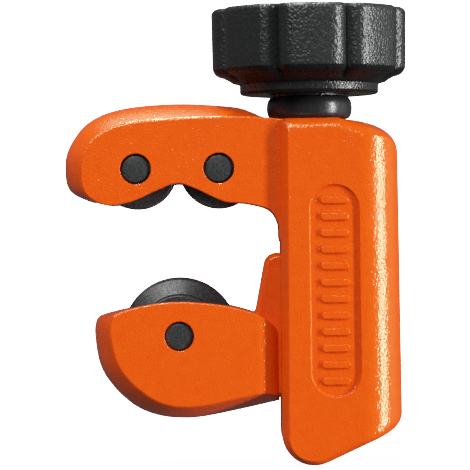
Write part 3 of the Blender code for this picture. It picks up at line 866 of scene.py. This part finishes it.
def knob_ring(height, drop, roundness, round_radius, segments):
    """The knob's section at a height: its lobed outline moved in by drop, and blended by
    roundness, from 0 to 1, into a circle of round_radius."""
    ring = []
    for i in range(segments):
        angle = 2 * math.pi * i / segments
        lobed = knob_radius(angle) - drop
        radius = lobed + (round_radius - lobed) * roundness
        angle += KNOB_TURN
        ring.append((radius * math.cos(angle), radius * math.sin(angle), height))
    return ring


CAP_RADIUS = 9.0
CAP_SEAT = KNOB_TOP - 1.3
HEX_FLATS = 10.0
HEX_HEAD_BOTTOM = 9.0
HEX_HEAD_TOP = 13.4


def hexagon(across_flats):
    """The screw head's outline, with its corners on the x axis."""
    return circle(across_flats / math.sqrt(3), 6)


KNOB_SEGMENTS = 320
SKIRT_START = 6.55
SKIRT_ROUND = 1.3
KNOB_SIDE_LOW = 7.9
KNOB_TOP_ROUND = 0.8
UNDERSIDE_TOP = 7.6


def knob():
    """The knob from its ring up: the underside that spreads to the skirt, the rounded skirt,
    the grooved side and the rounded top, with seats for the cap and the screw's head."""
    low, high = KNOB_SIDE_LOW, KNOB_TOP - KNOB_TOP_ROUND
    rings = [
        (KNOB_BOTTOM, 0, 1, 5.75),
        (3.72, 0, 1, 5.75),
        (3.74, 0, 1, RING_RADIUS - 0.55),
        (3.76, 0, 1, RING_RADIUS - 0.45),
        (3.85, 0, 1, RING_RADIUS - 0.2),
        (4.0, 0, 1, RING_RADIUS - 0.06),
        (4.2, 0, 1, RING_RADIUS),
        (5.1, 0, 1, RING_RADIUS),
        (5.25, 0, 1, RING_RADIUS + 0.03),
        (5.4, 0, 1, RING_RADIUS + 0.25),
        (5.6, 0, 0.9, RING_RADIUS + 0.75),
        (6.0, 2.6, 0.65, RING_RADIUS + 1.65),
        (6.4, 1.75, 0.4, RING_RADIUS + 2.4),
    ]
    for i in range(7):
        angle = math.pi / 2 * i / 6
        height = SKIRT_START + (low - SKIRT_START) * (1 - math.cos(angle))
        drop = 0.1 + SKIRT_ROUND * (1 - math.sin(angle))
        rings.append((height, drop, 0.15 * (1 - i / 6), KNOB_RADIUS - SKIRT_ROUND))
    rings += [(low + (high - low) * k / 4, 0.1 - 0.1 * k / 4, 0, 0) for k in range(1, 5)]
    for i in range(1, 8):
        angle = math.pi / 2 * i / 7
        height = high + KNOB_TOP_ROUND * math.sin(angle)
        drop = KNOB_TOP_ROUND * (1 - math.cos(angle))
        rings.append((height, drop, 0.2 * (i / 7) ** 2, KNOB_RADIUS - 1.0))
    rings.append((KNOB_TOP, 2.6, 0.75, KNOB_RADIUS - 2.6))
    made = loft("knob_body", [knob_ring(*ring, KNOB_SEGMENTS) for ring in rings])
    cut(made, column("cap_seat", circle(CAP_RADIUS, 96), CAP_SEAT, KNOB_TOP + 1))
    cut(made, column("hex_pocket", hexagon(HEX_FLATS + 2 * SEAT_GAP), HEX_HEAD_BOTTOM, KNOB_TOP))
    cut(made, column("knob_bore", circle(SCREW_RADIUS + SEAT_GAP, 48), 0, KNOB_TOP - 2))
    apply_all(made)
    finish(made, knob_look("knob_grain"), "feed_knob", "knob", "black_knob", 35)
    # The knob's low, downward-facing faces get a copy of its material with painted shade: the colour at
    # half brightness and hardly any gloss, so the orange light bounced up from the frame doesn't show on
    # them.
    made.data.materials.append(knob_look("knob_underside_grain_and_painted_shade", 0.05, 0.5))
    for face in made.data.polygons:
        if face.normal.z < -0.25 and face.center.z < to_row((0, 0, UNDERSIDE_TOP)).z:
            face.material_index = 1
    return made


def knob_cap():
    """The disc that closes the knob, with a shallow dish in its middle."""
    radius, low = CAP_RADIUS - 0.15, CAP_SEAT + SEAT_GAP
    corners = [
        (0, low, 0),
        (radius, low, 0.1),
        (radius, KNOB_TOP - 0.05, 0.3),
        (radius - 1.4, KNOB_TOP - 0.05, 0.15),
        (radius - 1.8, KNOB_TOP - 0.35, 0.15),
        (0, KNOB_TOP - 0.25, 0),
    ]
    made = turned("knob_cap_disc", rounded_outline(corners, 5), 96)
    return finish(made, knob_look("knob_cap_grain"), "feed_knob", "knob_cap", "black_knob", 40)


def thrust_collar():
    """The smooth round-edged ring between the knob and the frame."""
    bore, bulge, middle, half = SCREW_RADIUS + SEAT_GAP, 6.47, 1.73, 1.63
    arc = [
        (5.75 + (bulge - 5.75) * math.cos(a), middle + half * math.sin(a))
        for a in (math.pi / 2 * (i / 12 - 1) for i in range(25))
    ]
    made = turned("thrust_collar_ring", [(bore, middle - half)] + arc + [(bore, middle + half)], 96)
    return finish(made, collar_look("collar_moulding"), "feed_knob", "thrust_collar", "black_knob", 50)


THREAD_DEPTH = 0.55
THREAD_START = -47.3
THREAD_END = -8.2
THREAD_FADE = 0.8
CLIP_GROOVE_DEPTH = 0.5
UPPER_CLIP = (-7.35, -6.65)
LOWER_CLIP = (-48.5, -47.8)
UPPER_CLIP_GROOVE = (-7.45, -6.55)
LOWER_CLIP_GROOVE = (-48.6, -47.7)


def thread_radius(phase):
    """Radius of the thread at this share of a turn: a flat crest, sloping flanks, a flat root."""
    off = abs((phase + 0.5) % 1.0 - 0.5) * 2
    return SCREW_RADIUS - THREAD_DEPTH * min(1.0, max(0.0, (off - 0.12) / 0.7))


def feed_screw():
    """The screw with its real right-hand thread, between plain ends and the clips' grooves."""
    around, per_turn = 36, 8
    first, last = THREAD_START, THREAD_END
    steps = round((last - first) * per_turn)
    heights = [first + (last - first) * i / steps for i in range(steps + 1)]

    def build(shape):
        rings = []
        for height in heights:
            ring = []
            fade = min(1.0, (height - first) / THREAD_FADE, (last - height) / THREAD_FADE)
            for i in range(around):
                angle = 2 * math.pi * i / around
                phase = height / SCREW_PITCH - i / around
                radius = SCREW_RADIUS + (thread_radius(phase) - SCREW_RADIUS) * max(0.0, fade)
                spot = (radius * math.cos(angle), radius * math.sin(angle), height)
                ring.append(shape.verts.new(to_row(spot)))
            rings.append(ring)

        def plain(points):
            return [
                [shape.verts.new(to_row((x, y, height))) for x, y in circle(radius, around)]
                for radius, height in points
            ]

        full, groove = SCREW_RADIUS, SCREW_RADIUS - CLIP_GROOVE_DEPTH
        below = [(groove, SCREW_END), (full, SCREW_END + 0.5)]
        low, high = LOWER_CLIP_GROOVE
        below += [(full, low), (groove, low), (groove, high), (full, high)]
        low, high = UPPER_CLIP_GROOVE
        above = [(full, low), (groove, low), (groove, high), (full, high)]
        above += [(full, HEX_HEAD_BOTTOM + 0.5)]
        loops = plain(below) + rings + plain(above)
        for low, high in zip(loops, loops[1:]):
            for i in range(around):
                j = (i + 1) % around
                shape.faces.new((low[i], low[j], high[j], high[i]))
        shape.faces.new(loops[0][::-1])
        shape.faces.new(loops[-1])

    made = make_object("feed_screw_thread", build)
    head = column("screw_head", hexagon(HEX_FLATS), HEX_HEAD_BOTTOM + SEAT_GAP, HEX_HEAD_TOP)
    boolean(made, "UNION", head)
    apply_all(made)
    return finish(made, zinc_look("feed_screw_zinc"), "feed_knob", "feed_screw", "zinc_plated_steel", 35)


def thrust_washer():
    inner, outer, low, high = SCREW_RADIUS + RUNNING_GAP, 4.6, -6.4, -TOP_WALL - SEAT_GAP
    corners = [(inner, low, 0.08), (outer, low, 0.15), (outer, high, 0.15), (inner, high, 0.08)]
    made = turned("thrust_washer_ring", rounded_outline(corners, 4), 72)
    return finish(made, zinc_look("washer_zinc"), "feed_knob", "thrust_washer", "zinc_plated_steel", 40)


def retaining_clip(node, low, high):
    """An open spring clip that snaps into a groove of the screw, with broken edges."""
    inner, outer = SCREW_RADIUS - CLIP_GROOVE_DEPTH + RUNNING_GAP, 4.5
    gap = math.radians(35)
    steps = 48
    sweep = [math.pi / 2 + gap + (2 * math.pi - 2 * gap) * i / steps for i in range(steps + 1)]
    outline = [(outer * math.cos(a), outer * math.sin(a)) for a in sweep]
    outline += [(inner * math.cos(a), inner * math.sin(a)) for a in reversed(sweep)]
    rings = []
    for height, drop in ((low, 0.1), (low + 0.1, 0.0), (high - 0.1, 0.0), (high, 0.1)):
        rings.append([(x, y, height) for x, y in inset(outline, drop)])
    made = loft(f"{node}_spring", rings)
    return finish(made, zinc_look(f"{node}_zinc"), "feed_knob", node, "zinc_plated_steel", 35)


# ---------------------------------------------------------------- the studio

VIEW_CENTRE = to_row((-11.5, 0, -17.3))
CAMERA_DISTANCE = 0.4
VIEW_HALF_WIDTH = 0.0356
CAMERA_ROLL = math.radians(0.75)


def camera():
    """The camera in front of the tool, rolled a little."""
    data = bpy.data.cameras.new("camera")
    data.sensor_fit = "HORIZONTAL"
    data.lens = data.sensor_width * CAMERA_DISTANCE / (2 * VIEW_HALF_WIDTH)
    data.clip_start = 0.01
    made = bpy.data.objects.new("camera", data)
    bpy.context.scene.collection.objects.link(made)
    place = Matrix.Translation(VIEW_CENTRE + Vector((0, -CAMERA_DISTANCE, 0)))
    made.matrix_world = place @ Matrix.Rotation(math.pi / 2, 4, "X") @ Matrix.Rotation(-CAMERA_ROLL, 4, "Z")
    bpy.context.scene.camera = made


def softbox(name, azimuth, elevation, distance, width, height, power, mirrored=True):
    """A rectangular lamp aimed at the tool, azimuth from -Y towards +X, in degrees. One that
    isn't mirrored lights the tool without showing in its gloss."""
    data = bpy.data.lights.new(name, "AREA")
    data.shape = "RECTANGLE"
    data.size = width
    data.size_y = height
    data.energy = power
    made = bpy.data.objects.new(name, data)
    bpy.context.scene.collection.objects.link(made)
    a, e = math.radians(azimuth), math.radians(elevation)
    direction = Vector((math.sin(a) * math.cos(e), -math.cos(a) * math.cos(e), math.sin(e)))
    made.location = VIEW_CENTRE + direction * distance
    made.rotation_euler = direction.to_track_quat("Z", "Y").to_euler()
    made.visible_glossy = mirrored


PAPER_GLOW = 6.0
FLOOR_GLOW = 3.2
FLOOR_GLOW_NEAR = 60.0
FLOOR_GLOW_FAR = 500.0
FLOOR_RADIUS = 3.9
DOME_RADIUS = 4.0
WORLD_STRENGTH = 0.1


def stage_look(name, glow):
    """Matt pale paper. Its own glow keeps it white however the tool itself is lit, and is a
    little weaker near the tool."""
    look = Look(name, (0.8, 0.8, 0.8), 0.9)
    look.set(Specular_IOR_Level=0.0, Emission_Color=(1, 1, 1, 1), Emission_Strength=PAPER_GLOW)
    look.rough(look.noise(30.0), 0.85, 0.95)
    distance = look.radius((0, 0), along_y=False)
    away = look.spread(distance, FLOOR_GLOW_NEAR, FLOOR_GLOW_FAR, glow, PAPER_GLOW)
    look.tree.links.new(away, look.shader.inputs["Emission Strength"])
    return look.material


def backdrop():
    """A pale floor, and a dome behind and around it. Neither one throws light on the tool, so
    its undersides stay as dark as in the studio, where they face away from the lamps."""

    def disc(shape):
        bmesh.ops.create_circle(shape, cap_ends=True, segments=96, radius=FLOOR_RADIUS)

    def ball(shape):
        bmesh.ops.create_icosphere(shape, subdivisions=5, radius=DOME_RADIUS)

    floor = make_object("studio_floor", disc)
    floor.data.materials.append(stage_look("studio_floor_paper", FLOOR_GLOW))
    dome = make_object("studio_dome", ball)
    dome.data.materials.append(stage_look("studio_dome_paper", PAPER_GLOW))
    dome.data.shade_smooth()
    for piece in (floor, dome):
        piece.visible_diffuse = False
        piece.visible_glossy = False
        piece.visible_shadow = False


LAMPS = [
    ("strip_softbox", 65, 5, 0.8, 0.09, 0.8, 12.0, True),
    ("front_softbox", -17, 37, 1.0, 0.5, 0.35, 6.4, True),
    ("right_side_softbox", 102, 5, 0.9, 0.3, 0.7, 0.45, True),
    ("top_lamp", -90, 86, 0.9, 0.16, 0.16, 8.5, True),
    ("top_back_softbox", 180, 72, 0.9, 0.9, 0.5, 3.8, True),
    ("back_softbox", 180, 8, 1.0, 0.6, 0.5, 3.0, False),
    ("top_left_softbox", -66, 52, 0.9, 0.4, 0.4, 1.0, True),
    ("left_softbox", -88, 5, 0.9, 0.3, 0.7, 1.0, False),
]


def studio():
    """Soft lamps round the tool, in a dim even surround."""
    world = bpy.data.worlds.new("studio_world")
    bpy.context.scene.world = world
    world.use_nodes = True
    background = world.node_tree.nodes["Background"]
    background.inputs["Color"].default_value = (1, 1, 1, 1)
    background.inputs["Strength"].default_value = WORLD_STRENGTH
    for lamp in LAMPS:
        softbox(*lamp)
    film()


FILM_WHITE = 4.0
FILM_POINTS = ((0.3, 0.3), (0.6, 0.57), (1.0, 0.79), (1.4, 0.88), (2.4, 0.96))


def film():
    """A plain display with a soft shoulder, so that the brightest paint keeps its colour. The
    points carry the scene's light to what is shown, and FILM_WHITE is shown as white."""
    view = bpy.context.scene.view_settings
    view.view_transform = "Standard"
    view.use_curve_mapping = True
    mapping = view.curve_mapping
    mapping.white_level = (FILM_WHITE, FILM_WHITE, FILM_WHITE)
    curve = mapping.curves[3]
    for light, shown in FILM_POINTS:
        curve.points.new(light / FILM_WHITE, shown)
    for point in curve.points:
        point.handle_type = "VECTOR"
    mapping.update()


frame_paint = paint_look("orange_powder_coat")
finish(frame_casting(), frame_paint, "frame", "frame", "orange_paint", 28)
slide_paint = paint_look("orange_powder_coat_slide")
finish(slide_casting(), slide_paint, "slide", "slide", "orange_paint", 28)
for side, label in ((-1, "left"), (1, "right")):
    roller(label, side)
    roller_pin(label, side)
cutter_wheel()
wheel_pin()
knob()
knob_cap()
thrust_collar()
feed_screw()
thrust_washer()
retaining_clip("screw_retaining_clip", *UPPER_CLIP)
retaining_clip("slide_stop_clip", *LOWER_CLIP)
backdrop()
studio()
camera()
